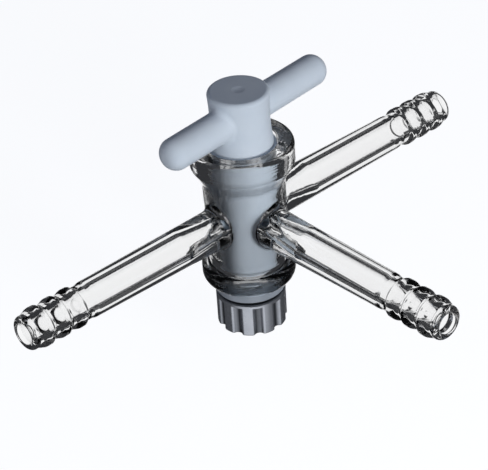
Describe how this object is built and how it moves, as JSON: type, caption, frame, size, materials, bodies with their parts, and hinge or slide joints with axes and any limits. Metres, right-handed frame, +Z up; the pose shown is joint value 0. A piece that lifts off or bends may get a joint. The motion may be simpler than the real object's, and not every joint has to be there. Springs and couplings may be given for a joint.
{
  "type": "glass stopcock",
  "caption": "Clear glass T stopcock with barbed hose arms, a white tapered plug with a T handle, and a fluted nut below that holds the plug in its seat.",
  "frame": {"origin": "centre of the nut's bottom face, on the barrel's axis", "axes": "+Z up along the barrel's axis towards the handle, X along the straight run of two arms, -Y along the side branch"},
  "size_m": [0.149, 0.0869, 0.0716],
  "materials": {
    "clear_glass": "clear, fire polished",
    "white_fluoropolymer": "waxy, soft sheen",
    "pale_grey_plastic": "satin",
    "black_rubber": "matt",
    "grey_plastic": "satin gloss, slightly metallic"
  },
  "bodies": {
    "glass": {"glass_body": "clear_glass"},
    "plug": {"plug": "white_fluoropolymer"},
    "tension_rings": {"washer": "pale_grey_plastic", "o_ring": "black_rubber"},
    "nut": {"nut": "grey_plastic"}
  },
  "joints": [
    {"name": "plug_turn", "type": "hinge", "parent": "glass", "child": "plug", "pos_m": [0, 0, 0.0342], "axis": [0, 0, 1], "continuous": true},
    {"name": "nut_travel", "type": "slide", "parent": "plug", "child": "tension_rings", "axis": [0, 0, 1], "range_m": [-0.00801, 0]},
    {"name": "nut_turn", "type": "hinge", "parent": "tension_rings", "child": "nut", "pos_m": [0, 0, 0.005], "axis": [0, 0, 1], "range_deg": [-1440, 0]}
  ],
  "couplings": [
    {"joint": "nut_travel", "follows": "nut_turn", "m_per_rad": 0.00031831}
  ]
}
